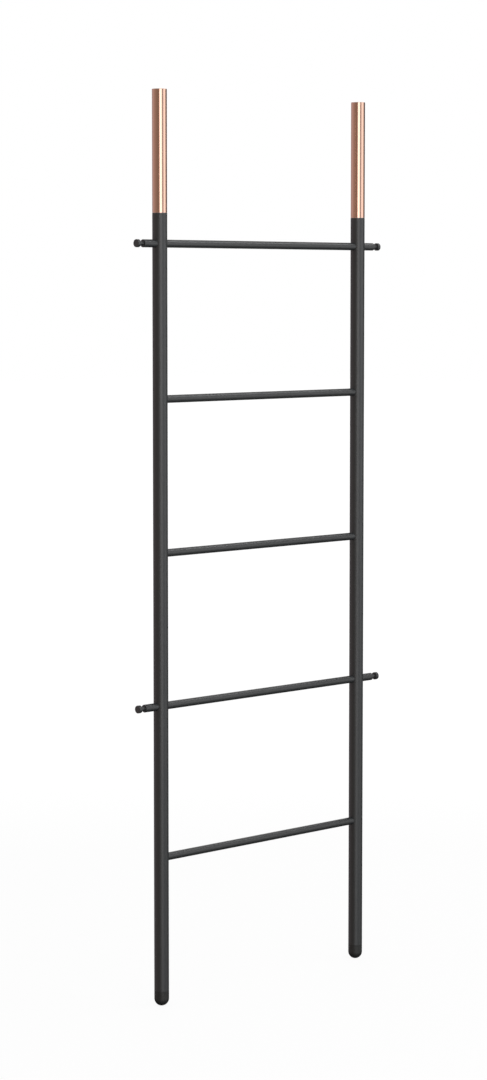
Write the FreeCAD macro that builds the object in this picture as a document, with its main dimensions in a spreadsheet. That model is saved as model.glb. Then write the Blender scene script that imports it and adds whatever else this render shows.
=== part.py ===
import FreeCAD, Part
import os
import Sketcher

# Towel ladder: two round rails joined by five round rungs, with polished copper sleeves
# on the rail tops, rubber feet, and four turned pegs that screw the ladder together.
# The part stands upright. X runs along the rungs, Y from front to back and Z up.
# The origin is on the floor, midway between the two feet. Lengths are millimetres.

doc = FreeCAD.newDocument("towel_ladder")
sizes = doc.addObject("Spreadsheet::Sheet", "sizes")

driving_sizes = [
    ("ladder_height", 1850, "floor to the tops of the copper sleeves"),
    ("rail_spacing", 582, "between the centre lines of the rails"),
    ("rail_diameter", 30, "outside of the rail tubes, sleeves and feet"),
    ("rail_wall", 1.2, "wall of the rail tubes and sleeves"),
    ("sleeve_length", 244, "copper sleeve, seam to top"),
    ("rim_radius", 0.6, "rounding of the sleeve's top rim"),
    ("edge_break", 0.3, "chamfer where a sleeve meets its rail"),
    ("rung_diameter", 16, "outside of the rungs and pegs"),
    ("rung_wall", 1, "wall of the rung tubes"),
    ("first_rung_height", 305, "floor to the centre line of the lowest rung"),
    ("top_rung_drop", 61, "seam under the sleeve to the centre line of the top rung"),
    ("rung_count", 5, "rungs, evenly spaced from the lowest to the top one"),
    ("lower_peg_rung_count", 2, "rungs up to the one that the lower pegs screw into"),
    ("peg_reach", 50, "rail surface to the flat end of the knob"),
    ("knob_length", 7.5, "knob at the end of a peg"),
    ("knob_edge_radius", 1, "rounding of the knob's end"),
    ("groove_width", 10.5, "hanging groove between shank and knob"),
    ("neck_diameter", 8, "bottom of the hanging groove"),
    ("shoulder_radius", 1.2, "rounded lips of the hanging groove"),
    ("neck_fillet", 0.8, "inside corners of the hanging groove"),
    ("stud_diameter", 8, "threaded stud"),
    ("stud_engagement", 20, "stud length in the peg and in the insert"),
    ("stud_chamfer", 1, "ends of the stud"),
    ("hole_spare", 2, "depth of the peg's hole past the stud"),
    ("insert_length", 24, "threaded insert in the end of a rung"),
    ("coupler_clearance", 11, "empty rail between the top rung and the coupler"),
    ("coupler_wall", 2.4, "wall of the coupler"),
    ("coupler_lead", 1.2, "lead-in chamfers of the coupler"),
    ("seam_thickness", 0.4, "coupler's stop ring between rail and sleeve"),
    ("seam_recess", 0.5, "depth of the stop ring below the tube surface"),
    ("cap_depth", 12, "top cap, rim to the end of its skirt"),
    ("cap_plate", 2, "plate of the top cap"),
    ("cap_skirt", 1.5, "skirt wall of the top cap"),
    ("cap_edge_radius", 0.5, "rounding of the top cap's plate"),
    ("foot_height", 31, "floor to the rail's lower end"),
    ("foot_land", 3, "radius of the flat that stands on the floor"),
    ("foot_shank_length", 28, "rubber shank inside the rail"),
    ("foot_shank_relief", 0.9, "shank surface below the sealing ribs"),
    ("foot_rib_width", 3, "sealing rib on the shank"),
    ("foot_rib_pitch", 7, "between neighbouring sealing ribs"),
    ("foot_rib_count", 3, "sealing ribs"),
    ("foot_core_diameter", 14, "blind core of the shank"),
    ("foot_core_depth", 36, "blind core, from the end of the shank"),
    ("seat_gap", 0.1, "clearance where a curved face seats on another"),
    ("slide_gap", 0.15, "radial clearance of a rung in its socket"),
    ("thread_gap", 0.05, "radial clearance of the stud in its threads"),
    ("cut_overrun", 5, "how far a cut runs past the surface it opens"),
]
value = {}
for row, (alias, number, note) in enumerate(driving_sizes, 1):
    sizes.set("A%d" % row, alias)
    sizes.set("B%d" % row, str(number))
    sizes.set("C%d" % row, note)
    sizes.setAlias("B%d" % row, alias)
    value[alias] = number
doc.recompute()

# Expressions that several pieces share.
rail_radius = "sizes.rail_diameter / 2"
bore_radius = "(sizes.rail_diameter / 2 - sizes.rail_wall)"
rung_radius = "sizes.rung_diameter / 2"
rung_bore_radius = "(sizes.rung_diameter / 2 - sizes.rung_wall)"
plug_radius = "(sizes.rail_diameter / 2 - sizes.rail_wall - sizes.seat_gap)"
seam_height = "(sizes.ladder_height - sizes.sleeve_length)"
rail_top = "(sizes.ladder_height - sizes.sleeve_length - sizes.seam_thickness)"
rung_pitch = ("((%s - sizes.top_rung_drop - sizes.first_rung_height) / (sizes.rung_count - 1))"
              % seam_height)
rung_reach = "(sqrt(%s^2 - (%s)^2) - sizes.seat_gap)" % (bore_radius, rung_radius)
coupler_reach = "(sizes.top_rung_drop - %s - sizes.coupler_clearance)" % rung_radius
knob_start = "(sizes.rail_diameter / 2 + sizes.peg_reach - sizes.knob_length)"
groove_start = "(%s - sizes.groove_width)" % knob_start
peg_end = "(sizes.rail_diameter / 2 + sizes.peg_reach)"
match_share = 0.001


def worked_out(expression):
    """the number that an expression on the sheet gives"""
    return float(sizes.evalExpression(expression.replace("sizes.", "")))


def new_body(label):
    body = doc.addObject("PartDesign::Body", label)
    body.Label = label
    return body


def origin_feature(body, role):
    return [item for item in body.Origin.OriginFeatures if item.Role == role][0]


def new_sketch(body, name, role, offset=None):
    """a sketch on one of the body's own origin planes, moved along the plane's normal by offset"""
    sketch = body.newObject("Sketcher::SketchObject", name)
    sketch.AttachmentSupport = [(origin_feature(body, role), "")]
    sketch.MapMode = "FlatFace"
    if offset:
        sketch.setExpression("AttachmentOffset.Base.z", offset)
    return sketch


def hold_point(sketch, geometry, end, across, up):
    """ties a point to the sketch origin by expressions; 0 puts it on the axis"""
    if across == "0":
        sketch.addConstraint(Sketcher.Constraint("PointOnObject", geometry, end, -2))
    else:
        index = sketch.addConstraint(
            Sketcher.Constraint("DistanceX", -1, 1, geometry, end, worked_out(across)))
        sketch.setExpression("Constraints[%d]" % index, across)
    if up == "0":
        sketch.addConstraint(Sketcher.Constraint("PointOnObject", geometry, end, -1))
    else:
        index = sketch.addConstraint(
            Sketcher.Constraint("DistanceY", -1, 1, geometry, end, worked_out(up)))
        sketch.setExpression("Constraints[%d]" % index, up)


def add_circle(sketch, radius, across="0", up="0"):
    centre = FreeCAD.Vector(worked_out(across), worked_out(up), 0)
    circle = Part.Circle(centre, FreeCAD.Vector(0, 0, 1), worked_out(radius))
    geometry = sketch.addGeometry(circle, False)
    hold_point(sketch, geometry, 3, across, up)
    index = sketch.addConstraint(Sketcher.Constraint("Radius", geometry, worked_out(radius)))
    sketch.setExpression("Constraints[%d]" % index, radius)


def add_outline(sketch, corners):
    """a closed outline of straight lines through corners given as pairs of expressions"""
    points = [FreeCAD.Vector(worked_out(across), worked_out(up), 0) for across, up in corners]
    first = sketch.GeometryCount
    for number, point in enumerate(points):
        following = points[(number + 1) % len(points)]
        sketch.addGeometry(Part.LineSegment(point, following), False)
    for number, (across, up) in enumerate(corners):
        before = first + (number - 1) % len(corners)
        sketch.addConstraint(Sketcher.Constraint("Coincident", before, 2, first + number, 1))
        hold_point(sketch, first + number, 1, across, up)


def add_pad(body, sketch, name, length, both_ways=False):
    pad = body.newObject("PartDesign::Pad", name)
    pad.Profile = sketch
    pad.setExpression("Length", length)
    if both_ways:
        pad.SideType = "Symmetric"
    doc.recompute()
    return pad


def add_through_pocket(body, sketch, name, along_normal=False, both_ways=False):
    pocket = body.newObject("PartDesign::Pocket", name)
    pocket.Profile = sketch
    pocket.Type = "ThroughAll"
    pocket.Reversed = along_normal
    if both_ways:
        pocket.SideType = "Symmetric"
    doc.recompute()
    return pocket


def add_revolution(body, sketch, name, axis):
    revolution = body.newObject("PartDesign::Revolution", name)
    revolution.Profile = sketch
    revolution.ReferenceAxis = (sketch, [axis])
    revolution.Angle = 360
    doc.recompute()
    return revolution


def add_row(body, feature, name, axis, length, count):
    """repeats a feature along one of the body's axes"""
    pattern = body.newObject("PartDesign::LinearPattern", name)
    pattern.Originals = [feature]
    pattern.Direction = (origin_feature(body, axis), [""])
    pattern.setExpression("Length", length)
    pattern.setExpression("Occurrences", count)
    body.Tip = pattern
    doc.recompute()
    return pattern


def ring_edges(feature, axis, place, radius):
    """names of the round edges with this radius whose centres lie at place along x (0) or z (2)"""
    wanted_place = worked_out(place)
    wanted_radius = worked_out(radius)
    near = match_share * value["rail_diameter"]
    names = []
    for number, edge in enumerate(feature.Shape.Edges, 1):
        curve = edge.Curve
        if not isinstance(curve, Part.Circle) or abs(curve.Radius - wanted_radius) > near:
            continue
        if abs(curve.Center[axis] - wanted_place) < near:
            names.append("Edge%d" % number)
    return names


def dress_edges(body, base, kind, name, edges, size_name, size):
    dressing = body.newObject("PartDesign::" + kind, name)
    dressing.Base = (base, edges)
    dressing.setExpression(size_name, size)
    doc.recompute()
    return dressing


def place_body(body, across="0", up="0", turned=False):
    """puts a body in the ladder; turned faces its own +X towards the ladder's left"""
    half_turn = 180 if turned else 0
    body.Placement = FreeCAD.Placement(
        FreeCAD.Vector(0, 0, 0), FreeCAD.Rotation(FreeCAD.Vector(0, 0, 1), half_turn))
    if across != "0":
        body.setExpression("Placement.Base.x", across)
    if up != "0":
        body.setExpression("Placement.Base.z", up)


def rung_height(number):
    """height of a rung's centre line, counted from the bottom"""
    return "(sizes.first_rung_height + %s * (%s - 1))" % (rung_pitch, number)


# Rail: a tube with a socket through its inner wall for every rung, and stud holes
# through its outer wall at the two rungs that carry pegs. Own +X faces the other rail.
def make_rail(label):
    body = new_body(label)
    tube_sketch = new_sketch(body, label + "_tube_sketch", "XY_Plane", "sizes.foot_height")
    add_circle(tube_sketch, rail_radius)
    add_circle(tube_sketch, bore_radius)
    add_pad(body, tube_sketch, label + "_tube", rail_top + " - sizes.foot_height")
    socket_sketch = new_sketch(body, label + "_socket_sketch", "YZ_Plane")
    add_circle(socket_sketch, rung_radius + " + sizes.slide_gap", "0", "sizes.first_rung_height")
    socket = add_through_pocket(body, socket_sketch, label + "_socket", along_normal=True)
    add_row(body, socket, label + "_sockets", "Z_Axis",
            rung_pitch + " * (sizes.rung_count - 1)", "sizes.rung_count")
    hole_sketch = new_sketch(body, label + "_stud_hole_sketch", "YZ_Plane")
    add_circle(hole_sketch, "sizes.stud_diameter / 2 + sizes.slide_gap", "0",
               rung_height("sizes.lower_peg_rung_count"))
    hole = add_through_pocket(body, hole_sketch, label + "_stud_hole")
    row = add_row(body, hole, label + "_stud_holes", "Z_Axis",
                  rung_pitch + " * (sizes.rung_count - sizes.lower_peg_rung_count)", "2")
    dress_edges(body, row, "Chamfer", label + "_seam_chamfer",
                ring_edges(row, 2, rail_top, rail_radius), "Size", "sizes.edge_break")
    return body


# Copper sleeve: the top stretch of a rail, a plated tube of the rail's own section.
def make_sleeve(label):
    body = new_body(label)
    tube_sketch = new_sketch(body, label + "_tube_sketch", "XY_Plane")
    add_circle(tube_sketch, rail_radius)
    add_circle(tube_sketch, bore_radius)
    tube = add_pad(body, tube_sketch, label + "_tube", "sizes.sleeve_length")
    chamfer = dress_edges(body, tube, "Chamfer", label + "_seam_chamfer",
                          ring_edges(tube, 2, "0", rail_radius), "Size", "sizes.edge_break")
    dress_edges(body, chamfer, "Fillet", label + "_rim",
                ring_edges(chamfer, 2, "sizes.sleeve_length", rail_radius), "Radius", "sizes.rim_radius")
    return body


# Top cap: a flat plate with a skirt, pressed into the sleeve flush with its rim.
def make_top_cap(label):
    body = new_body(label)
    sketch = new_sketch(body, label + "_profile", "XZ_Plane")
    skirt_bore = "(%s - sizes.cap_skirt)" % plug_radius
    add_outline(sketch, [
        ("0", "sizes.cap_depth"),
        ("0", "sizes.cap_depth - sizes.cap_plate"),
        (skirt_bore, "sizes.cap_depth - sizes.cap_plate"),
        (skirt_bore, "0"),
        (plug_radius, "0"),
        (plug_radius, "sizes.cap_depth"),
    ])
    turned = add_revolution(body, sketch, label + "_turned", "V_Axis")
    dress_edges(body, turned, "Fillet", label + "_edge",
                ring_edges(turned, 2, "sizes.cap_depth", plug_radius), "Radius", "sizes.cap_edge_radius")
    return body


# Sleeve coupler: a turned tube half in the rail and half in the sleeve, with a thin
# stop ring that shows as the hairline between black and copper.
def make_coupler(label):
    body = new_body(label)
    sketch = new_sketch(body, label + "_profile", "XZ_Plane")
    tube_bore = "(%s - sizes.coupler_wall)" % plug_radius
    ring_radius = "(%s - sizes.seam_recess)" % rail_radius
    ring_top = coupler_reach + " + sizes.seam_thickness"
    length = "(2 * %s + sizes.seam_thickness)" % coupler_reach
    add_outline(sketch, [
        (tube_bore, "0"),
        (plug_radius, "0"),
        (plug_radius, coupler_reach),
        (ring_radius, coupler_reach),
        (ring_radius, ring_top),
        (plug_radius, ring_top),
        (plug_radius, length),
        (tube_bore, length),
    ])
    turned = add_revolution(body, sketch, label + "_turned", "V_Axis")
    ends = ring_edges(turned, 2, "0", plug_radius) + ring_edges(turned, 2, length, plug_radius)
    dress_edges(body, turned, "Chamfer", label + "_lead", ends, "Size", "sizes.coupler_lead")
    return body


# Foot: a rubber moulding with a half-round end as wide as the rail, cut to a small flat
# on the floor, and a ribbed shank with a blind core that plugs the rail.
def make_foot(label):
    body = new_body(label)
    shank_radius = "(%s - sizes.foot_shank_relief)" % plug_radius
    shank_top = "(sizes.foot_height + sizes.foot_shank_length)"
    corners = [
        ("0", shank_top),
        ("0", "0"),
        ("sizes.foot_land", "0"),
        (rail_radius, "sqrt((%s)^2 - sizes.foot_land^2)" % rail_radius),
        (rail_radius, "sizes.foot_height"),
        (shank_radius, "sizes.foot_height"),
        (shank_radius, shank_top),
    ]
    points = [FreeCAD.Vector(worked_out(across), worked_out(up), 0) for across, up in corners]
    sketch = new_sketch(body, label + "_profile", "XZ_Plane")
    for number, point in enumerate(points):
        following = points[(number + 1) % len(points)]
        if number == 2:
            centre = FreeCAD.Vector(0, following.y, 0)
            ball = Part.Circle(centre, FreeCAD.Vector(0, 0, 1), following.x)
            start = ball.parameter(point)
            sketch.addGeometry(Part.ArcOfCircle(ball, start, ball.parameter(following)), False)
        else:
            sketch.addGeometry(Part.LineSegment(point, following), False)
    sketch.addConstraint(Sketcher.Constraint("Tangent", 2, 2, 3, 1))
    for number in (0, 1, 2, 4, 5, 6):
        sketch.addConstraint(Sketcher.Constraint("Coincident", (number - 1) % len(points), 2, number, 1))
        hold_point(sketch, number, 1, *corners[number])
    sketch.addConstraint(Sketcher.Constraint("PointOnObject", 2, 3, -2))
    radius = sketch.addConstraint(Sketcher.Constraint("Radius", 2, worked_out(rail_radius)))
    sketch.setExpression("Constraints[%d]" % radius, rail_radius)
    add_revolution(body, sketch, label + "_turned", "V_Axis")
    rib_sketch = new_sketch(body, label + "_rib_profile", "XZ_Plane")
    rib_foot = "(sizes.foot_height + sizes.foot_rib_pitch - sizes.foot_rib_width)"
    add_outline(rib_sketch, [
        (shank_radius + " - sizes.foot_shank_relief", rib_foot),
        (plug_radius, rib_foot),
        (shank_radius + " - sizes.foot_shank_relief", rib_foot + " + sizes.foot_rib_width"),
    ])
    rib = add_revolution(body, rib_sketch, label + "_rib", "V_Axis")
    add_row(body, rib, label + "_ribs", "Z_Axis",
            "sizes.foot_rib_pitch * (sizes.foot_rib_count - 1)", "sizes.foot_rib_count")
    core_sketch = new_sketch(body, label + "_core_sketch", "XY_Plane", shank_top)
    add_circle(core_sketch, "sizes.foot_core_diameter / 2")
    core = body.newObject("PartDesign::Pocket", label + "_core")
    core.Profile = core_sketch
    core.setExpression("Length", "sizes.foot_core_depth")
    doc.recompute()
    return body


# Rung: a plain tube that runs through both sockets and ends just short of the outer walls.
def make_rung(label):
    body = new_body(label)
    sketch = new_sketch(body, label + "_tube_sketch", "YZ_Plane")
    add_circle(sketch, rung_radius)
    add_circle(sketch, rung_bore_radius)
    add_pad(body, sketch, label + "_tube", "sizes.rail_spacing + 2 * %s" % rung_reach, both_ways=True)
    return body


# Insert: a threaded plug in the end of a rung, with a nose milled to the rail's bore so
# that the stud pulls it up against the outer wall. Own +X points out through that wall.
def make_insert(label):
    body = new_body(label)
    nose = "(%s - sizes.seat_gap)" % bore_radius
    plug_sketch = new_sketch(body, label + "_plug_sketch", "YZ_Plane", nose + " - sizes.insert_length")
    add_circle(plug_sketch, rung_bore_radius + " - sizes.thread_gap")
    add_circle(plug_sketch, "sizes.stud_diameter / 2 + sizes.thread_gap")
    add_pad(body, plug_sketch, label + "_plug", "sizes.insert_length")
    nose_sketch = new_sketch(body, label + "_nose_sketch", "XY_Plane")
    beyond = nose + " + sizes.cut_overrun"
    add_circle(nose_sketch, nose)
    add_circle(nose_sketch, beyond)
    add_through_pocket(body, nose_sketch, label + "_nose", both_ways=True)
    return body


# Stud: joins a peg to its insert through the rail's outer wall.
def make_stud(label):
    body = new_body(label)
    stud_start = "(%s - sizes.stud_engagement)" % bore_radius
    stud_end = "(%s + sizes.stud_engagement)" % rail_radius
    sketch = new_sketch(body, label + "_sketch", "YZ_Plane", stud_start)
    add_circle(sketch, "sizes.stud_diameter / 2")
    rod = add_pad(body, sketch, label + "_rod", stud_end + " - " + stud_start)
    ends = ring_edges(rod, 0, stud_start, "sizes.stud_diameter / 2")
    ends += ring_edges(rod, 0, stud_end, "sizes.stud_diameter / 2")
    dress_edges(body, rod, "Chamfer", label + "_ends", ends, "Size", "sizes.stud_chamfer")
    return body


# Peg: turned from bar as thick as a rung, with a hanging groove, a knob, a blind
# threaded hole and a saddle milled to the rail. Own +X points away from the rail.
def make_peg(label):
    body = new_body(label)
    neck_radius = "sizes.neck_diameter / 2"
    sketch = new_sketch(body, label + "_profile", "XY_Plane")
    add_outline(sketch, [
        ("0", "0"),
        (peg_end, "0"),
        (peg_end, rung_radius),
        (knob_start, rung_radius),
        (knob_start, neck_radius),
        (groove_start, neck_radius),
        (groove_start, rung_radius),
        ("0", rung_radius),
    ])
    add_revolution(body, sketch, label + "_turned", "H_Axis")
    saddle_sketch = new_sketch(body, label + "_saddle_sketch", "XY_Plane")
    add_circle(saddle_sketch, rail_radius + " + sizes.seat_gap")
    add_through_pocket(body, saddle_sketch, label + "_saddle", both_ways=True)
    hole_sketch = new_sketch(body, label + "_hole_sketch", "YZ_Plane")
    add_circle(hole_sketch, "sizes.stud_diameter / 2 + sizes.thread_gap")
    doc.recompute()
    hole = body.newObject("PartDesign::Hole", label + "_hole")
    hole.Profile = hole_sketch
    doc.recompute()
    hole.ThreadType = "None"
    hole.DepthType = "Dimension"
    hole.DrillPoint = "Angled"
    hole.Reversed = True
    hole.setExpression("Diameter", "sizes.stud_diameter + 2 * sizes.thread_gap")
    hole.setExpression("Depth", rail_radius + " + sizes.stud_engagement + sizes.hole_spare")
    doc.recompute()
    knob_end = dress_edges(body, hole, "Fillet", label + "_knob_edge",
                           ring_edges(hole, 0, peg_end, rung_radius), "Radius", "sizes.knob_edge_radius")
    lips = ring_edges(knob_end, 0, knob_start, rung_radius)
    lips += ring_edges(knob_end, 0, groove_start, rung_radius)
    shoulders = dress_edges(body, knob_end, "Fillet", label + "_groove_lips",
                            lips, "Radius", "sizes.shoulder_radius")
    corners = ring_edges(shoulders, 0, knob_start, neck_radius)
    corners += ring_edges(shoulders, 0, groove_start, neck_radius)
    dress_edges(body, shoulders, "Fillet", label + "_neck_fillet",
                corners, "Radius", "sizes.neck_fillet")
    return body


pieces = []
left_axis = "-sizes.rail_spacing / 2"
right_axis = "sizes.rail_spacing / 2"
for side, axis, is_right in (("left", left_axis, False), ("right", right_axis, True)):
    rail = make_rail(side + "_rail")
    place_body(rail, axis, turned=is_right)
    sleeve = make_sleeve(side + "_copper_sleeve")
    place_body(sleeve, axis, seam_height)
    cap = make_top_cap(side + "_top_cap")
    place_body(cap, axis, "sizes.ladder_height - sizes.cap_depth")
    coupler = make_coupler(side + "_sleeve_coupler")
    place_body(coupler, axis, rail_top + " - " + coupler_reach)
    foot = make_foot(side + "_foot")
    place_body(foot, axis)
    pieces += [rail, sleeve, cap, coupler, foot]
    for level, rung_number in (("lower", "sizes.lower_peg_rung_count"), ("upper", "sizes.rung_count")):
        height = rung_height(rung_number)
        for kind, make in (("insert", make_insert), ("stud", make_stud), ("peg", make_peg)):
            piece = make("%s_%s_%s" % (side, level, kind))
            place_body(piece, axis, height, turned=not is_right)
            pieces.append(piece)

for number in range(1, value["rung_count"] + 1):
    rung = make_rung("rung_%d" % number)
    place_body(rung, up=rung_height(number))
    pieces.append(rung)

doc.recompute()

for item in doc.Objects:
    if "Invalid" in item.State or "Error" in item.State:
        raise RuntimeError("%s failed to build: %s" % (item.Label, item.State))
for piece in pieces:
    if piece.Shape.isNull() or not piece.Shape.isValid() or len(piece.Shape.Solids) != 1:
        raise RuntimeError(piece.Label + " is not one valid solid")

os.makedirs("parts", exist_ok=True)
for piece in pieces:
    piece.Shape.exportStep(os.path.join("parts", piece.Label + ".step"))
    box = piece.Shape.BoundBox
    print("%-24s volume %9.0f  x %7.1f %7.1f  y %6.1f %6.1f  z %7.1f %7.1f" % (
        piece.Label, piece.Shape.Volume, box.XMin, box.XMax, box.YMin, box.YMax, box.ZMin, box.ZMax))
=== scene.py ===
from math import atan2, cos, hypot, pi, radians, sin, sqrt, tan

import bmesh
import bpy
from mathutils import Matrix, Vector


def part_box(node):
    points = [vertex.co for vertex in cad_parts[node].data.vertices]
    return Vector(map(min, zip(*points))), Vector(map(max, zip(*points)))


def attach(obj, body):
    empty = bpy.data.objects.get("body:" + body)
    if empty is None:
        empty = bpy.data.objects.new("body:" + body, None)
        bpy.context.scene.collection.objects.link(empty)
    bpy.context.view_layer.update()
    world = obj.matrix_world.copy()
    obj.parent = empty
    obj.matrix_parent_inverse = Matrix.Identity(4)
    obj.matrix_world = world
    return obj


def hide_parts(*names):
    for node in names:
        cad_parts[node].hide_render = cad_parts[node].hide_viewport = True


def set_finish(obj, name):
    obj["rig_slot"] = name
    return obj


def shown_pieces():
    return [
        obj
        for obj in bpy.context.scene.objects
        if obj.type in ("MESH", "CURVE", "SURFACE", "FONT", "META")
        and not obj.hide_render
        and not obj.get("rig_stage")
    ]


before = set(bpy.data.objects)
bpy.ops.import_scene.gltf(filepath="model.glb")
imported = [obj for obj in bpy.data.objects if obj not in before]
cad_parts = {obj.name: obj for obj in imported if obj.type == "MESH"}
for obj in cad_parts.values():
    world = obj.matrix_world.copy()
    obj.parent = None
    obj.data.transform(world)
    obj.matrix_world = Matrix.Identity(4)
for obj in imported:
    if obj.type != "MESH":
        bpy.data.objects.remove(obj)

mm = 0.001
hair = 0.02 * mm                 # closeness at which two places count as one
merge = 0.01 * mm                # closeness at which two corners become one
sharpAngle = radians(32)         # faces that meet at more than this keep a crisp edge
sides = (("left", -1), ("right", 1))
levels = ("lower", "upper")
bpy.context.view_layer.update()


# Mesh helpers. A turned shape is made about Z and then laid where its node is.
def turnedShape(outline, steps, closed=True):
    # spins an outline of (radius, height) points; an open one starts and ends on the axis
    bm = bmesh.new()
    corners = [bm.verts.new((radius, 0, height)) for radius, height in outline]
    edges = [bm.edges.new(pair) for pair in zip(corners, corners[1:])]
    if closed:
        edges.append(bm.edges.new((corners[-1], corners[0])))
    bmesh.ops.spin(bm, geom=corners + edges, cent=(0, 0, 0), axis=(0, 0, 1), dvec=(0, 0, 0),
                   angle=2 * pi, steps=steps, use_merge=True, use_duplicate=False)
    bmesh.ops.remove_doubles(bm, verts=bm.verts, dist=merge)
    bmesh.ops.recalc_face_normals(bm, faces=bm.faces)
    return bm


def turnedTube(radius, thickness, low, high, steps):
    bore = radius - thickness
    return turnedShape([(radius, low), (radius, high), (bore, high), (bore, low)], steps)


def roundRing(bm, radius, height, size, segments):
    # rounds or breaks the ring of edges at this radius and height
    def onRing(vert):
        return abs(hypot(vert.co.x, vert.co.y) - radius) < hair and abs(vert.co.z - height) < hair
    ring = [edge for edge in bm.edges if all(onRing(vert) for vert in edge.verts)]
    bmesh.ops.bevel(bm, geom=ring, offset=size, offset_type="OFFSET", segments=segments,
                    profile=0.5, affect="EDGES", material=-1, clamp_overlap=True)


def ringCut(bm, height):
    bmesh.ops.bisect_plane(bm, geom=bm.verts[:] + bm.edges[:] + bm.faces[:], dist=hair,
                           plane_co=(0, 0, height), plane_no=(0, 0, 1))


def addRod(bm, radius, start, end, steps):
    # adds a capped cylinder between two points, to cut with
    start, end = Vector(start), Vector(end)
    turn = (end - start).to_track_quat("Z", "Y").to_matrix().to_4x4()
    bmesh.ops.create_cone(bm, cap_ends=True, segments=steps, radius1=radius, radius2=radius,
                          depth=(end - start).length, matrix=Matrix.Translation((start + end) / 2) @ turn)


def uprightRod(radius, reach, steps):
    bm = bmesh.new()
    addRod(bm, radius, (0, 0, -reach), (0, 0, reach), steps)
    return bm


def shaped(bm, tool, operation="DIFFERENCE"):
    # cuts one bmesh with another and gives the result as a new one
    shapes = []
    for source in (bm, tool):
        mesh = bpy.data.meshes.new("shaping")
        source.to_mesh(mesh)
        source.free()
        shapes.append(bpy.data.objects.new("shaping", mesh))
        bpy.context.collection.objects.link(shapes[-1])
    cut = shapes[0].modifiers.new("cut", "BOOLEAN")
    cut.object = shapes[1]
    cut.operation = operation
    cut.solver = "EXACT"
    result = bmesh.new()
    result.from_object(shapes[0], bpy.context.evaluated_depsgraph_get())
    for shape in shapes:
        bpy.data.objects.remove(shape)
    return result


def lay(bm, x=0, z=0, tilt=0):
    # tilts a shape about Y, so that 90 degrees lays Z along +X, and moves it to its place
    bmesh.ops.rotate(bm, verts=bm.verts, cent=(0, 0, 0), matrix=Matrix.Rotation(radians(tilt), 3, "Y"))
    bmesh.ops.translate(bm, verts=bm.verts, vec=(x, 0, z))


def addPiece(bm, node, finish, slotName):
    # makes the piece that stands for a CAD node
    mesh = bpy.data.meshes.new(node + "_finished")
    bm.to_mesh(mesh)
    bm.free()
    mesh.shade_smooth()
    mesh.set_sharp_from_angle(angle=sharpAngle)
    mesh.materials.append(finish)
    piece = bpy.data.objects.new(node + "_finished", mesh)
    bpy.context.collection.objects.link(piece)
    even = piece.modifiers.new("evenNormals", "WEIGHTED_NORMAL")
    even.keep_sharp = True
    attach(piece, "root")
    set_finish(piece, slotName)
    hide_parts(node)


# Node helpers
def addNode(tree, kind, settings=None, inputs=None):
    node = tree.nodes.new(kind)
    for name, value in (settings or {}).items():
        setattr(node, name, value)
    for name, value in (inputs or {}).items():
        node.inputs[name].default_value = value
    return node


def mapped(tree, source, low, high, fromLow, fromHigh):
    # spreads a value that runs fromLow..fromHigh over low..high
    node = addNode(tree, "ShaderNodeMapRange", {}, {
        "From Min": fromLow, "From Max": fromHigh, "To Min": low, "To Max": high})
    tree.links.new(source, node.inputs["Value"])
    return node.outputs["Result"]


def mixedColour(tree, factor, first, second):
    # first may be a colour or a socket; the node has its colours at inputs 6 and 7 and output 2
    node = addNode(tree, "ShaderNodeMix", {"data_type": "RGBA"})
    if isinstance(first, tuple):
        node.inputs[6].default_value = (*first, 1)
    else:
        tree.links.new(first, node.inputs[6])
    node.inputs[7].default_value = (*second, 1)
    tree.links.new(factor, node.inputs[0])
    return node.outputs[2]


def combined(tree, operation, first, second):
    # second may be a number or a socket
    node = addNode(tree, "ShaderNodeMath", {"operation": operation})
    tree.links.new(first, node.inputs[0])
    if isinstance(second, float):
        node.inputs[1].default_value = second
    else:
        tree.links.new(second, node.inputs[1])
    return node.outputs[0]


def newGroup(name, inputs, outputs):
    group = bpy.data.node_groups.new(name, "ShaderNodeTree")
    for label in inputs:
        group.interface.new_socket(label, in_out="INPUT", socket_type="NodeSocketFloat")
    for label in outputs:
        group.interface.new_socket(label, in_out="OUTPUT", socket_type="NodeSocketFloat")
    return group, group.nodes.new("NodeGroupInput"), group.nodes.new("NodeGroupOutput")


# Skin of a coat or moulding: close grain, slow patches and rare specks
skinNoise = {"grainDetail": 3.0, "patchDetail": 4.0, "roughness": 0.55, "speck": (0.05, 0.16)}
noiseSpan = (0.3, 0.7)           # the part of 0..1 in which nearly all of a noise lies


def grainGroup():
    group, given, made = newGroup("surfaceGrain", ("Grain Scale", "Patch Scale", "Speck Scale"),
                                  ("Grain", "Patches", "Specks"))
    place = addNode(group, "ShaderNodeTexCoord").outputs["Object"]
    for label, detail, output in (("Grain Scale", skinNoise["grainDetail"], "Grain"),
                                  ("Patch Scale", skinNoise["patchDetail"], "Patches")):
        noise = addNode(group, "ShaderNodeTexNoise", {}, {
            "Detail": detail, "Roughness": skinNoise["roughness"]})
        group.links.new(place, noise.inputs["Vector"])
        group.links.new(given.outputs[label], noise.inputs["Scale"])
        group.links.new(noise.outputs["Fac"], made.inputs[output])
    cells = addNode(group, "ShaderNodeTexVoronoi", {"feature": "F1"})
    group.links.new(place, cells.inputs["Vector"])
    group.links.new(given.outputs["Speck Scale"], cells.inputs["Scale"])
    group.links.new(mapped(group, cells.outputs["Distance"], 1.0, 0.0, *skinNoise["speck"]),
                    made.inputs["Specks"])
    return group


# Fine tool lines, which are a noise stretched along the work, and faint marks in all directions
lineNoise = {"detail": 4.0, "roughness": 0.7, "markScale": 38.0, "markDetail": 5.0, "markBend": 0.6,
             "marks": (0.52, 0.72)}


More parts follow.
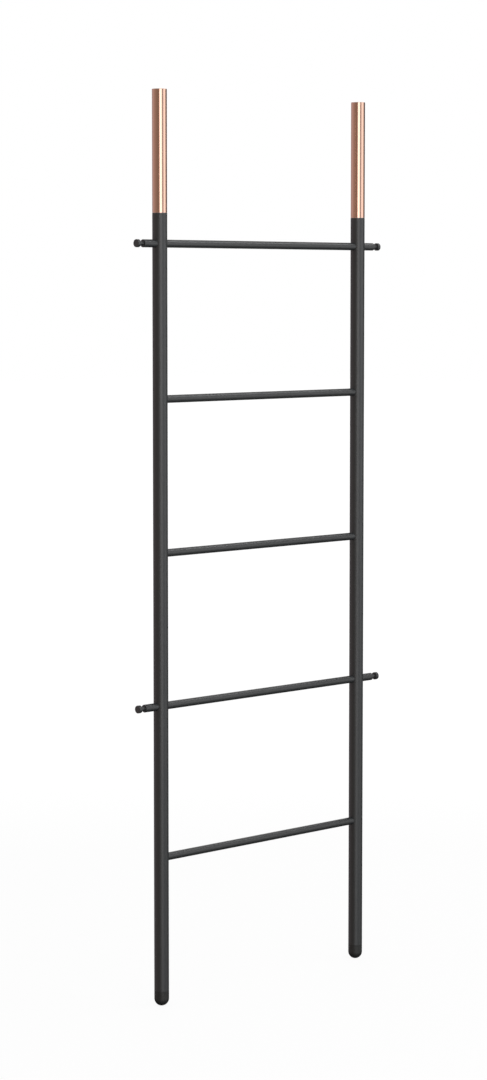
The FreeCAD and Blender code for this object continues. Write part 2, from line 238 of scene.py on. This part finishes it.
def lineGroup():
    group, given, made = newGroup("toolLines", ("Across X", "Across Y", "Across Z"), ("Lines", "Marks"))
    place = addNode(group, "ShaderNodeTexCoord").outputs["Object"]
    scale = addNode(group, "ShaderNodeCombineXYZ")
    for axis in "XYZ":
        group.links.new(given.outputs["Across " + axis], scale.inputs[axis])
    stretch = addNode(group, "ShaderNodeMapping", {"vector_type": "POINT"})
    group.links.new(place, stretch.inputs["Vector"])
    group.links.new(scale.outputs["Vector"], stretch.inputs["Scale"])
    lines = addNode(group, "ShaderNodeTexNoise", {}, {
        "Scale": 1.0, "Detail": lineNoise["detail"], "Roughness": lineNoise["roughness"]})
    group.links.new(stretch.outputs["Vector"], lines.inputs["Vector"])
    group.links.new(lines.outputs["Fac"], made.inputs["Lines"])
    marks = addNode(group, "ShaderNodeTexNoise", {}, {
        "Scale": lineNoise["markScale"], "Detail": lineNoise["markDetail"],
        "Distortion": lineNoise["markBend"]})
    group.links.new(place, marks.inputs["Vector"])
    group.links.new(mapped(group, marks.outputs["Fac"], 0.0, 1.0, *lineNoise["marks"]), made.inputs["Marks"])
    return group


grain = grainGroup()
toolLines = lineGroup()


def newFinish(name, settings):
    # a material with its Principled shader, and its constant values on the shader's own sockets
    finish = bpy.data.materials.new(name)
    finish.use_nodes = True
    shader = finish.node_tree.nodes["Principled BSDF"]
    for label, value in settings.items():
        shader.inputs[label].default_value = value
    return finish, finish.node_tree, shader


def placedGroup(tree, group, values):
    return addNode(tree, "ShaderNodeGroup", {"node_tree": group}, values)


def bump(tree, shader, height, depth):
    node = addNode(tree, "ShaderNodeBump", {}, {"Strength": 1.0, "Distance": depth})
    tree.links.new(height, node.inputs["Height"])
    tree.links.new(node.outputs["Normal"], shader.inputs["Normal"])


# Powder coat: baked black paint with a fine orange peel and a slight sheen
powder = {"dark": (0.021, 0.0238, 0.0265), "light": (0.027, 0.0302, 0.033), "speck": (0.085, 0.087, 0.09),
          "speckShare": 0.35, "sheen": 1.0, "gloss": (0.40, 0.46), "peel": 780.0, "peelDepth": 0.1 * mm,
          "patches": 9.0, "specks": 420.0}


def powderCoat():
    finish, tree, shader = newFinish("powderCoat", {"Specular IOR Level": powder["sheen"]})
    skin = placedGroup(tree, grain, {"Grain Scale": powder["peel"], "Patch Scale": powder["patches"],
                                     "Speck Scale": powder["specks"]})
    tone = mixedColour(tree, skin.outputs["Patches"], powder["dark"], powder["light"])
    share = combined(tree, "MULTIPLY", skin.outputs["Specks"], powder["speckShare"])
    tree.links.new(mixedColour(tree, share, tone, powder["speck"]), shader.inputs["Base Color"])
    tree.links.new(mapped(tree, skin.outputs["Patches"], *powder["gloss"], *noiseSpan),
                   shader.inputs["Roughness"])
    bump(tree, shader, skin.outputs["Grain"], powder["peelDepth"])
    return finish


# Polished copper: bright plate with fine rings from the polishing belt and faint hand marks
copper = {"bright": (0.95, 0.615, 0.475), "rosy": (0.93, 0.58, 0.455), "roughness": (0.1, 0.125),
          "marks": 0.02, "ringScale": 1100.0, "roundScale": 22.0, "ringDepth": 0.0002 * mm,
          "patches": 14.0}


def polishedCopper():
    finish, tree, shader = newFinish("polishedCopper", {"Metallic": 1.0})
    skin = placedGroup(tree, grain, {"Patch Scale": copper["patches"]})
    rings = placedGroup(tree, toolLines, {"Across X": copper["roundScale"], "Across Y": copper["roundScale"],
                                          "Across Z": copper["ringScale"]})
    tree.links.new(mixedColour(tree, skin.outputs["Patches"], copper["bright"], copper["rosy"]),
                   shader.inputs["Base Color"])
    sheen = mapped(tree, rings.outputs["Lines"], *copper["roughness"], *noiseSpan)
    dulled = combined(tree, "MULTIPLY", rings.outputs["Marks"], copper["marks"])
    tree.links.new(combined(tree, "ADD", sheen, dulled), shader.inputs["Roughness"])
    bump(tree, shader, rings.outputs["Lines"], copper["ringDepth"])
    return finish


# Foot rubber: dull black moulding with a soft bloom
rubber = {"black": (0.021, 0.022, 0.021), "bloom": (0.030, 0.031, 0.0295), "sheen": 0.62,
          "roughness": (0.42, 0.54), "grain": 1900.0, "grainDepth": 0.02 * mm, "patches": 60.0}


def footRubber():
    finish, tree, shader = newFinish("footRubber", {"Specular IOR Level": rubber["sheen"]})
    skin = placedGroup(tree, grain, {"Grain Scale": rubber["grain"], "Patch Scale": rubber["patches"]})
    tree.links.new(mixedColour(tree, skin.outputs["Patches"], rubber["black"], rubber["bloom"]),
                   shader.inputs["Base Color"])
    tree.links.new(mapped(tree, skin.outputs["Patches"], *rubber["roughness"], *noiseSpan),
                   shader.inputs["Roughness"])
    bump(tree, shader, skin.outputs["Grain"], rubber["grainDepth"])
    return finish


# Zinc plate on the fittings inside: pale, cloudy and drawn along the bar
zinc = {"pale": (0.66, 0.67, 0.69), "cloud": (0.52, 0.53, 0.56), "roughness": (0.26, 0.42),
        "patches": 240.0, "drawn": 25.0, "across": 2200.0, "lineDepth": 0.004 * mm}


def zincPlate():
    finish, tree, shader = newFinish("zincPlate", {"Metallic": 1.0})
    skin = placedGroup(tree, grain, {"Patch Scale": zinc["patches"]})
    lines = placedGroup(tree, toolLines, {"Across X": zinc["drawn"], "Across Y": zinc["across"],
                                          "Across Z": zinc["across"]})
    tree.links.new(mixedColour(tree, skin.outputs["Patches"], zinc["pale"], zinc["cloud"]),
                   shader.inputs["Base Color"])
    tree.links.new(mapped(tree, skin.outputs["Patches"], *zinc["roughness"], *noiseSpan),
                   shader.inputs["Roughness"])
    bump(tree, shader, lines.outputs["Lines"], zinc["lineDepth"])
    return finish


blackCoat = powderCoat()
copperPlate = polishedCopper()
rubberSkin = footRubber()
zincSkin = zincPlate()
print("finishes made")


# Places read from the frame
def middleOf(node):
    return [(low + high) / 2 for low, high in zip(*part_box(node))]


def widthOf(node):
    return [high - low for low, high in zip(*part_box(node))]


railAxis = {side: middleOf(side + "_rail")[0] for side, outward in sides}
railRadius = widthOf("left_rail")[0] / 2
rungNodes = sorted(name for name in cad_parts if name.startswith("rung_"))
rungHeight = {name: middleOf(name)[2] for name in rungNodes}
rungRadius = widthOf("rung_1")[1] / 2
plugRadius = widthOf("left_top_cap")[1] / 2


# Rail: a tube with a socket through its inner wall for each rung, and stud holes outside
rail = {"wall": 1.2 * mm, "steps": 144, "endBreak": 0.3 * mm, "breakSteps": 2, "socketGap": 0.15 * mm,
        "studHole": 4.15 * mm, "holeSteps": 64, "nearSocket": 12 * mm, "reach": 24 * mm}


def makeRail(side, outward):
    low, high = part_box(side + "_rail")
    bm = turnedTube(railRadius, rail["wall"], low.z, high.z, rail["steps"])
    for end in (low.z, high.z):
        roundRing(bm, railRadius, end, rail["endBreak"], rail["breakSteps"])
    holes = bmesh.new()
    for height in rungHeight.values():
        ringCut(bm, height - rail["nearSocket"])
        ringCut(bm, height + rail["nearSocket"])
        addRod(holes, rungRadius + rail["socketGap"], (0, 0, height), (-outward * rail["reach"], 0, height),
               rail["holeSteps"])
    for level in levels:
        height = middleOf(side + "_" + level + "_peg")[2]
        addRod(holes, rail["studHole"], (outward * rungRadius, 0, height),
               (outward * rail["reach"], 0, height), rail["holeSteps"])
    bm = shaped(bm, holes)
    lay(bm, railAxis[side])
    addPiece(bm, side + "_rail", blackCoat, "powder_coat")


# Copper sleeve: the polished top of a rail, with a rolled rim
sleeve = {"wall": 1.2 * mm, "steps": 192, "seamBreak": 0.3 * mm, "breakSteps": 2, "rim": 0.55 * mm,
          "rimSteps": 5}


def makeSleeve(side):
    low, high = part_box(side + "_copper_sleeve")
    bm = turnedTube(railRadius, sleeve["wall"], low.z, high.z, sleeve["steps"])
    roundRing(bm, railRadius, low.z, sleeve["seamBreak"], sleeve["breakSteps"])
    roundRing(bm, railRadius, high.z, sleeve["rim"], sleeve["rimSteps"])
    lay(bm, railAxis[side])
    addPiece(bm, side + "_copper_sleeve", copperPlate, "copper")


# Top cap: a turned plug flush with the rim
cap = {"plate": 2 * mm, "skirt": 1.5 * mm, "edge": 0.5 * mm, "edgeSteps": 4, "steps": 144}


def makeTopCap(side):
    low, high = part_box(side + "_top_cap")
    bore = plugRadius - cap["skirt"]
    under = high.z - cap["plate"]
    bm = turnedShape([(0, high.z), (plugRadius, high.z), (plugRadius, low.z), (bore, low.z),
                      (bore, under), (0, under)], cap["steps"], closed=False)
    roundRing(bm, plugRadius, high.z, cap["edge"], cap["edgeSteps"])
    lay(bm, railAxis[side])
    addPiece(bm, side + "_top_cap", copperPlate, "copper")


# Coupler: joins rail and sleeve inside, and its stop ring shows as the seam
coupler = {"wall": 2.4 * mm, "lead": 1.2 * mm, "leadSteps": 1, "steps": 144}


def makeCoupler(side):
    low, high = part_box(side + "_sleeve_coupler")
    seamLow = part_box(side + "_rail")[1].z
    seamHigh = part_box(side + "_copper_sleeve")[0].z
    ring = (high.x - low.x) / 2
    bore = plugRadius - coupler["wall"]
    bm = turnedShape([(bore, low.z), (plugRadius, low.z), (plugRadius, seamLow), (ring, seamLow),
                      (ring, seamHigh), (plugRadius, seamHigh), (plugRadius, high.z), (bore, high.z)],
                     coupler["steps"])
    for end in (low.z, high.z):
        roundRing(bm, plugRadius, end, coupler["lead"], coupler["leadSteps"])
    lay(bm, railAxis[side])
    addPiece(bm, side + "_sleeve_coupler", zincSkin, "zinc_steel")


# Foot: a half-round rubber end with a small flat, on a ribbed shank
foot = {"shoulder": 31 * mm, "land": 3 * mm, "shank": 12.8 * mm, "core": 7 * mm, "coreFloor": 23 * mm,
        "ribs": 3, "ribFoot": 35 * mm, "ribPitch": 7 * mm, "ribHalf": 1.5 * mm,
        "ballSteps": 24, "edge": 0.25 * mm, "edgeSteps": 3, "steps": 144}


def makeFoot(side):
    low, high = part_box(side + "_foot")
    centre = sqrt(railRadius ** 2 - foot["land"] ** 2)
    start = atan2(-centre, foot["land"])
    ball = [start * (1 - step / foot["ballSteps"]) for step in range(foot["ballSteps"] + 1)]
    outline = [(0, low.z)] + [(railRadius * cos(angle), centre + railRadius * sin(angle)) for angle in ball]
    outline += [(railRadius, foot["shoulder"]), (foot["shank"], foot["shoulder"])]
    for number in range(foot["ribs"]):
        ribFoot = foot["ribFoot"] + number * foot["ribPitch"]
        outline += [(foot["shank"], ribFoot), (plugRadius, ribFoot),
                    (foot["shank"], ribFoot + foot["ribHalf"])]
    outline += [(foot["shank"], high.z), (foot["core"], high.z), (foot["core"], foot["coreFloor"]),
                (0, foot["coreFloor"])]
    bm = turnedShape(outline, foot["steps"], closed=False)
    roundRing(bm, railRadius, foot["shoulder"], foot["edge"], foot["edgeSteps"])
    lay(bm, railAxis[side])
    addPiece(bm, side + "_foot", rubberSkin, "foot_rubber")


# Rung: a plain tube through both sockets
rung = {"wall": 1 * mm, "edge": 0.25 * mm, "edgeSteps": 2, "steps": 96}


def makeRung(node):
    low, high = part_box(node)
    bm = turnedTube(rungRadius, rung["wall"], low.x, high.x, rung["steps"])
    for end in (low.x, high.x):
        roundRing(bm, rungRadius, end, rung["edge"], rung["edgeSteps"])
    lay(bm, z=rungHeight[node], tilt=90)
    addPiece(bm, node, blackCoat, "powder_coat")


# Peg: turned from bar, with a hanging groove, a knob, a blind hole and a saddle for the rail
peg = {"knob": 7.5 * mm, "groove": 10.5 * mm, "neck": 4 * mm, "lip": 1.2 * mm, "lipSteps": 5,
       "neckFillet": 0.8 * mm, "filletSteps": 4, "knobEdge": 1 * mm, "knobSteps": 5, "hole": 4.05 * mm,
       "holeEnd": 37 * mm, "drillAngle": radians(59), "saddleGap": 0.1 * mm, "saddleSteps": 192,
       "insideRail": 8 * mm, "steps": 128}


def makePeg(side, outward, level):
    node = side + "_" + level + "_peg"
    low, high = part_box(node)
    reach = abs((low.x if outward < 0 else high.x) - railAxis[side])
    radius = (high.z - low.z) / 2
    knobFoot = reach - peg["knob"]
    grooveFoot = knobFoot - peg["groove"]
    outline = [(0, peg["holeEnd"] + peg["hole"] / tan(peg["drillAngle"])), (peg["hole"], peg["holeEnd"]),
               (peg["hole"], peg["insideRail"]), (radius, peg["insideRail"]),
               (radius, grooveFoot), (peg["neck"], grooveFoot),
               (peg["neck"], knobFoot), (radius, knobFoot), (radius, reach), (0, reach)]
    bm = turnedShape(outline, peg["steps"], closed=False)
    for height in (grooveFoot, knobFoot):
        roundRing(bm, radius, height, peg["lip"], peg["lipSteps"])
        roundRing(bm, peg["neck"], height, peg["neckFillet"], peg["filletSteps"])
    roundRing(bm, radius, reach, peg["knobEdge"], peg["knobSteps"])
    lay(bm, tilt=90 * outward)
    saddle = uprightRod(railRadius + peg["saddleGap"], 2 * radius, peg["saddleSteps"])
    bm = shaped(bm, saddle)
    lay(bm, railAxis[side], middleOf(node)[2])
    addPiece(bm, node, blackCoat, "powder_coat")


# Stud: a rolled thread with a bare point at each end
stud = {"pitch": 1.25 * mm, "depth": 0.72 * mm, "crest": 0.08 * mm, "root": 0.54 * mm, "sunk": 0.06 * mm,
        "bare": 1.3 * mm, "point": 0.7 * mm, "pointSteps": 1, "coreSteps": 48, "turnSteps": 24}


def makeStud(side, level):
    node = side + "_" + level + "_stud"
    low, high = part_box(node)
    radius = (high.z - low.z) / 2
    core = radius - stud["depth"]
    bm = turnedShape([(0, low.x), (core, low.x), (core, high.x), (0, high.x)], stud["coreSteps"],
                     closed=False)
    for end in (low.x, high.x):
        roundRing(bm, core, end, stud["point"], stud["pointSteps"])
    start = low.x + stud["bare"]
    turns = int((high.x - low.x - 2 * stud["bare"]) / stud["pitch"])
    base = core - stud["sunk"]
    profile = [(base, -stud["root"]), (radius, -stud["crest"]), (radius, stud["crest"]),
               (base, stud["root"])]
    first = [bm.verts.new((across, 0, start + along)) for across, along in profile]
    loop = [bm.edges.new(pair) for pair in zip(first, first[1:] + first[:1])]
    ridge = bmesh.ops.spin(bm, geom=first + loop, cent=(0, 0, 0), axis=(0, 0, 1),
                           dvec=(0, 0, stud["pitch"] / stud["turnSteps"]), angle=2 * pi * turns,
                           steps=turns * stud["turnSteps"], use_merge=False, use_duplicate=False)
    last = [item for item in ridge["geom_last"] if isinstance(item, bmesh.types.BMVert)]
    for end in (first, last):
        bmesh.ops.contextual_create(bm, geom=end)
    bmesh.ops.recalc_face_normals(bm, faces=bm.faces)
    lay(bm, z=middleOf(node)[2], tilt=90)
    addPiece(bm, node, zincSkin, "zinc_steel")


# Insert: a plug in the rung's end, its nose fitted to the rail's bore
insert = {"bore": 4.05 * mm, "grip": 0.25 * mm, "gripFrom": 7 * mm, "gripPitch": 3 * mm, "grips": 4,
          "gripHalf": 0.5 * mm, "noseSteps": 192, "steps": 96}


def makeInsert(side, outward, level):
    node = side + "_" + level + "_insert"
    low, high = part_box(node)
    radius = (high.z - low.z) / 2
    nose = max(abs(low.x - railAxis[side]), abs(high.x - railAxis[side]))
    back = nose - (high.x - low.x)
    outline = [(insert["bore"], back), (radius, back)]
    for number in range(insert["grips"]):
        place = back + insert["gripFrom"] + number * insert["gripPitch"]
        outline += [(radius, place - insert["gripHalf"]), (radius - insert["grip"], place),
                    (radius, place + insert["gripHalf"])]
    outline += [(radius, nose + rail["wall"]), (insert["bore"], nose + rail["wall"])]
    bm = turnedShape(outline, insert["steps"])
    lay(bm, tilt=90 * outward)
    bm = shaped(bm, uprightRod(nose, 2 * radius, insert["noseSteps"]), "INTERSECT")
    lay(bm, railAxis[side], middleOf(node)[2])
    addPiece(bm, node, zincSkin, "zinc_steel")


for side, outward in sides:
    makeRail(side, outward)
    makeSleeve(side)
    makeTopCap(side)
    makeCoupler(side)
    makeFoot(side)
    for level in levels:
        makePeg(side, outward, level)
        makeStud(side, level)
        makeInsert(side, outward, level)
for node in rungNodes:
    makeRung(node)

# Camera: the photograph's view
view = {"place": (-4.21259, -4.13583, 1.45405), "heading": radians(45.1536), "dip": radians(5.0339),
        "lens": 94.835, "sensor": 36, "farthest": 200}
lens = bpy.data.cameras.new("camera")
lens.lens = view["lens"]
lens.sensor_width = view["sensor"]
lens.clip_end = view["farthest"]
camera = bpy.data.objects.new("camera", lens)
camera.location = view["place"]
camera.rotation_euler = (pi / 2 - view["dip"], 0, -view["heading"])
bpy.context.collection.objects.link(camera)
bpy.context.scene.camera = camera

# Studio: white all round for the camera, soft light from above and three tall softboxes.
# A toned wall, which only the gloss sees, stands round the ladder, and a bright card high up
# draws the light line along the rungs. Directions are degrees from the camera's side, as
# seen from the ladder, and grow towards the picture's right.
pureWhite = (1, 1, 1)
studio = {"soft": 0.38, "floorSize": 30.0, "floorShade": 0.9, "floorWhite": 0.88, "floorGlow": 1.05,
          "clearFrom": 1.5, "clearTo": 5.0, "underside": 0.05, "ceiling": 0.4, "ceilingSides": 48,
          "cardTurn": 3}
wall = {
    "from": -180, "to": 180, "distance": 7.0, "low": -2.5, "high": 8.0,
    "tones": ((-180, (0.34, 0.33, 0.32)), (-158, (0.21, 0.17, 0.18)), (-140, (0.39, 0.35, 0.375)),
              (-105, (0.46, 0.395, 0.40)), (-82, (0.365, 0.29, 0.27)), (-60, (0.30, 0.24, 0.215)),
              (-35, (0.23, 0.185, 0.155)), (0, (0.235, 0.195, 0.17)), (36, (0.41, 0.41, 0.415)),
              (64, (0.41, 0.42, 0.43)), (104, (0.27, 0.26, 0.26)), (114, (0.078, 0.076, 0.073)),
              (148, (0.155, 0.155, 0.15)), (162, (0.25, 0.24, 0.235)), (180, (0.34, 0.33, 0.32))),
}
boxes = (
    {"name": "stripBox", "from": -1, "to": 33, "distance": 4.0, "low": 0.1, "high": 4.2, "level": 1.5},
    {"name": "backBox", "from": 162, "to": 198, "distance": 4.0, "low": 0.1, "high": 4.2, "level": 0.8},
    {"name": "sideBox", "from": 61, "to": 104, "distance": 4.0, "low": 0.1, "high": 3.0, "level": 0.78},
)
lowCards = {"low": -2.4, "share": 0.6}     # one below each box, with this share of its level
highCard = {"from": 105, "to": 135, "distance": 4.0, "low": 3.9, "high": 5.2, "level": 4.0}
overhead = {"place": (0.9, -1.1, 3.5), "aim": (0, 0, 1.2), "size": 2.2, "level": 0.6}
bounce = {"place": (0, 0, -0.05), "aim": (0, 0, 1), "size": 9.0, "level": 0.5}     # the floor, for copper
cameraSide = atan2(view["place"][1], view["place"][0])


def grey(level):
    return (level, level, level)


def glow(name, colour=pureWhite, strength=1.0):
    finish = bpy.data.materials.new(name)
    finish.use_nodes = True
    tree = finish.node_tree
    tree.nodes.clear()
    shine = addNode(tree, "ShaderNodeEmission", {}, {"Color": (*colour, 1), "Strength": strength})
    tree.links.new(shine.outputs[0], addNode(tree, "ShaderNodeOutputMaterial").inputs["Surface"])
    return finish


def stageObject(name, bm, finish):
    mesh = bpy.data.meshes.new(name)
    bm.to_mesh(mesh)
    bm.free()
    mesh.materials.append(finish)
    item = bpy.data.objects.new(name, mesh)
    bpy.context.collection.objects.link(item)
    item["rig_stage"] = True
    return item


def seenOnlyByGloss(item):
    item.visible_camera = False
    item.visible_diffuse = False
    item.visible_transmission = False
    item.visible_shadow = False


def curvedCard(name, card, finish):
    # an upright card bent round the ladder, for the gloss alone
    bm = bmesh.new()
    edge = [bm.verts.new((card["distance"], 0, card[end])) for end in ("low", "high")]
    start = cameraSide + radians(card["from"])
    spread = card["to"] - card["from"]
    bmesh.ops.rotate(bm, verts=edge, cent=(0, 0, 0), matrix=Matrix.Rotation(start, 3, "Z"))
    bmesh.ops.spin(bm, geom=edge + [bm.edges.new(edge)], cent=(0, 0, 0), axis=(0, 0, 1), dvec=(0, 0, 0),
                   angle=radians(spread), steps=spread // studio["cardTurn"], use_merge=False,
                   use_duplicate=False)
    seenOnlyByGloss(stageObject(name, bm, finish))


def tonedWall():
    # the wall's tone runs round it through the stops
    finish = glow("wallTones")
    tree = finish.node_tree
    place = addNode(tree, "ShaderNodeTexCoord")
    turn = addNode(tree, "ShaderNodeMapping")
    turn.inputs["Rotation"].default_value[2] = -cameraSide
    circling = addNode(tree, "ShaderNodeTexGradient", {"gradient_type": "RADIAL"})
    ramp = addNode(tree, "ShaderNodeValToRGB")
    stops = ramp.color_ramp.elements
    while len(stops) < len(wall["tones"]):
        stops.new(0.5)
    for stop, (direction, colour) in zip(stops, wall["tones"]):
        stop.position = direction / 360 + 0.5
        stop.color = (*colour, 1)
    tree.links.new(place.outputs["Object"], turn.inputs["Vector"])
    tree.links.new(turn.outputs["Vector"], circling.inputs["Vector"])
    tree.links.new(circling.outputs["Fac"], ramp.inputs["Fac"])
    tree.links.new(ramp.outputs["Color"], tree.nodes["Emission"].inputs["Color"])
    return finish


def whiteForCamera(tree, plain, white):
    # white where the camera, the gloss or glass looks, and plain for the rest
    rays = addNode(tree, "ShaderNodeLightPath").outputs
    seen = combined(tree, "MAXIMUM", rays["Is Camera Ray"], rays["Is Glossy Ray"])
    seen = combined(tree, "MAXIMUM", seen, rays["Is Transmission Ray"])
    mix = addNode(tree, "ShaderNodeMixShader")
    tree.links.new(plain.outputs[0], mix.inputs[1])
    tree.links.new(white.outputs[0], mix.inputs[2])
    return mix, seen


def setWorld():
    world = bpy.data.worlds.new("studioAir")
    world.use_nodes = True
    tree = world.node_tree
    tree.nodes.clear()
    plain = addNode(tree, "ShaderNodeBackground", {}, {"Color": (*grey(studio["soft"]), 1)})
    white = addNode(tree, "ShaderNodeBackground", {}, {"Color": (*pureWhite, 1)})
    mix, seen = whiteForCamera(tree, plain, white)
    tree.links.new(seen, mix.inputs[0])
    tree.links.new(mix.outputs[0], addNode(tree, "ShaderNodeOutputWorld").inputs["Surface"])
    bpy.context.scene.world = world


def makeFloor():
    # pale floor that keeps the ladder's shadow, and is clear from below; the gloss looks past it
    finish = bpy.data.materials.new("paleFloor")
    finish.use_nodes = True
    tree = finish.node_tree
    tree.nodes.clear()
    plain = addNode(tree, "ShaderNodeBsdfDiffuse", {}, {"Color": (*grey(studio["floorShade"]), 1)})
    white = addNode(tree, "ShaderNodeEmission", {}, {
        "Color": (*pureWhite, 1), "Strength": studio["floorGlow"]})
    mix, seen = whiteForCamera(tree, plain, white)
    away = addNode(tree, "ShaderNodeVectorMath", {"operation": "LENGTH"})
    tree.links.new(addNode(tree, "ShaderNodeTexCoord").outputs["Object"], away.inputs[0])
    share = mapped(tree, away.outputs["Value"], studio["floorWhite"], 1.0, studio["clearFrom"],
                   studio["clearTo"])
    tree.links.new(combined(tree, "MULTIPLY", seen, share), mix.inputs[0])
    below = addNode(tree, "ShaderNodeMixShader")
    tree.links.new(addNode(tree, "ShaderNodeNewGeometry").outputs["Backfacing"], below.inputs[0])
    tree.links.new(mix.outputs[0], below.inputs[1])
    tree.links.new(addNode(tree, "ShaderNodeBsdfTransparent").outputs[0], below.inputs[2])
    tree.links.new(below.outputs[0], addNode(tree, "ShaderNodeOutputMaterial").inputs["Surface"])
    bm = bmesh.new()
    bmesh.ops.create_grid(bm, x_segments=1, y_segments=1, size=studio["floorSize"])
    floor = stageObject("floor", bm, finish)
    floor.visible_glossy = False
    floor.visible_diffuse = False
    floor.visible_shadow = False


def makeUnderside():
    # a dark sheet under everything keeps light off the undersides
    bm = bmesh.new()
    bmesh.ops.create_grid(bm, x_segments=1, y_segments=1, size=studio["floorSize"],
                          matrix=Matrix.Translation((0, 0, wall["low"])))
    sheet = stageObject("darkSheet", bm, glow("darkSheet", grey(studio["underside"])))
    sheet.visible_camera = False
    sheet.visible_transmission = False
    sheet.visible_shadow = False


def makeCeiling():
    # closes the wall at the top, for the gloss alone
    bm = bmesh.new()
    bmesh.ops.create_circle(bm, cap_ends=True, segments=studio["ceilingSides"], radius=wall["distance"],
                            matrix=Matrix.Translation((0, 0, wall["high"])))
    seenOnlyByGloss(stageObject("ceiling", bm, glow("ceiling", grey(studio["ceiling"]))))


def softbox(name, place, aim, width, height, level, onlyFor=None):
    # an area lamp whose face is as bright as level, where 1 is white
    light = bpy.data.lights.new(name, "AREA")
    light.shape = "RECTANGLE"
    light.size = width
    light.size_y = height
    light.energy = level * pi * width * height
    lamp = bpy.data.objects.new(name, light)
    lamp.location = place
    lamp.rotation_euler = (Vector(aim) - Vector(place)).to_track_quat("-Z", "Y").to_euler()
    lamp.visible_camera = False
    bpy.context.collection.objects.link(lamp)
    if onlyFor:
        lit = bpy.data.collections.new(name + "Pieces")
        for piece in onlyFor:
            lit.objects.link(piece)
        lamp.light_linking.receiver_collection = lit


setWorld()
makeFloor()
makeUnderside()
makeCeiling()
curvedCard("wall", wall, tonedWall())
for box in boxes:
    angle = cameraSide + radians((box["from"] + box["to"]) / 2)
    middle = (box["low"] + box["high"]) / 2
    place = (box["distance"] * cos(angle), box["distance"] * sin(angle), middle)
    width = 2 * box["distance"] * tan(radians((box["to"] - box["from"]) / 2))
    softbox(box["name"], place, (0, 0, middle), width, box["high"] - box["low"], box["level"])
    lowCard = {**box, "low": lowCards["low"], "high": box["low"]}
    cardName = box["name"] + "Low"
    curvedCard(cardName, lowCard, glow(cardName, strength=box["level"] * lowCards["share"]))
curvedCard("highCard", highCard, glow("highCard", strength=highCard["level"]))
softbox("overheadBox", overhead["place"], overhead["aim"], overhead["size"], overhead["size"],
        overhead["level"])
copperPieces = [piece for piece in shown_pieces() if piece.get("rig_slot") == "copper"]
softbox("floorBounce", bounce["place"], bounce["aim"], bounce["size"], bounce["size"], bounce["level"],
        copperPieces)
bpy.context.scene.view_settings.view_transform = "Standard"
print("studio lit")
